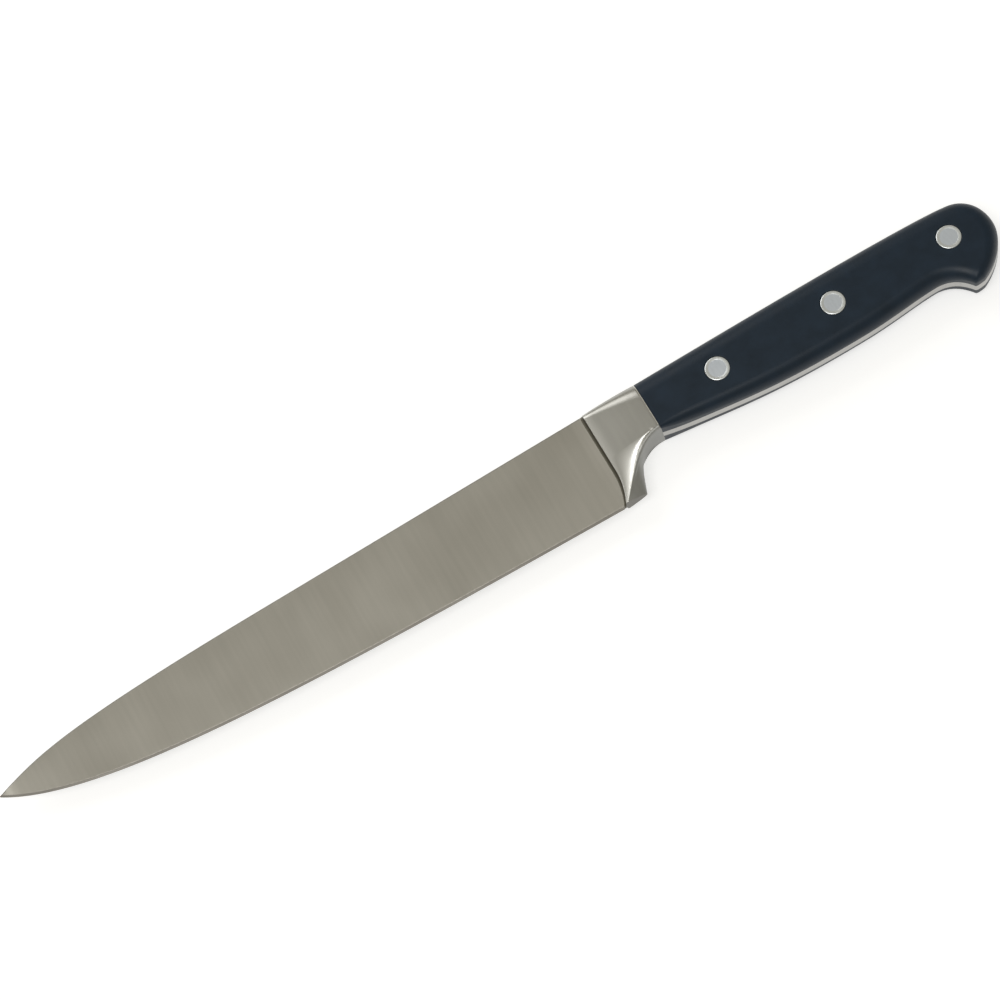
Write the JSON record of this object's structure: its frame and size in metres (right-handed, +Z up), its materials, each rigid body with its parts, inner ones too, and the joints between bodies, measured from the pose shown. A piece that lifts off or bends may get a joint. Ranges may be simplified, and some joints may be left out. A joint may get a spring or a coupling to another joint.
{
  "type": "carving knife",
  "caption": "Slim pointed carving knife with a forged bolster and finger guard, a full tang and black riveted handle scales with a curved beak at the butt.",
  "frame": {"origin": "on the surface that the knife lies on, under the centre of its length and height", "axes": "+X from the blade's point to the butt of the handle, +Y from the cutting edge to the spine, +Z up, out of the knife's left side; the knife lies flat on its right side"},
  "size_m": [0.3312, 0.0306, 0.0128],
  "materials": {
    "blade_steel": "satin ground stainless steel, polished on the bolster",
    "handle_scale": "moulded and buffed black acetal",
    "rivet_steel": "ground flush with the scales"
  },
  "bodies": {
    "root": {"blade": "blade_steel", "left_scale": "handle_scale", "right_scale": "handle_scale", "front_rivet_tube": "rivet_steel", "middle_rivet_tube": "rivet_steel", "rear_rivet_tube": "rivet_steel", "front_rivet_pin": "rivet_steel", "middle_rivet_pin": "rivet_steel", "rear_rivet_pin": "rivet_steel"}
  },
  "joints": []
}
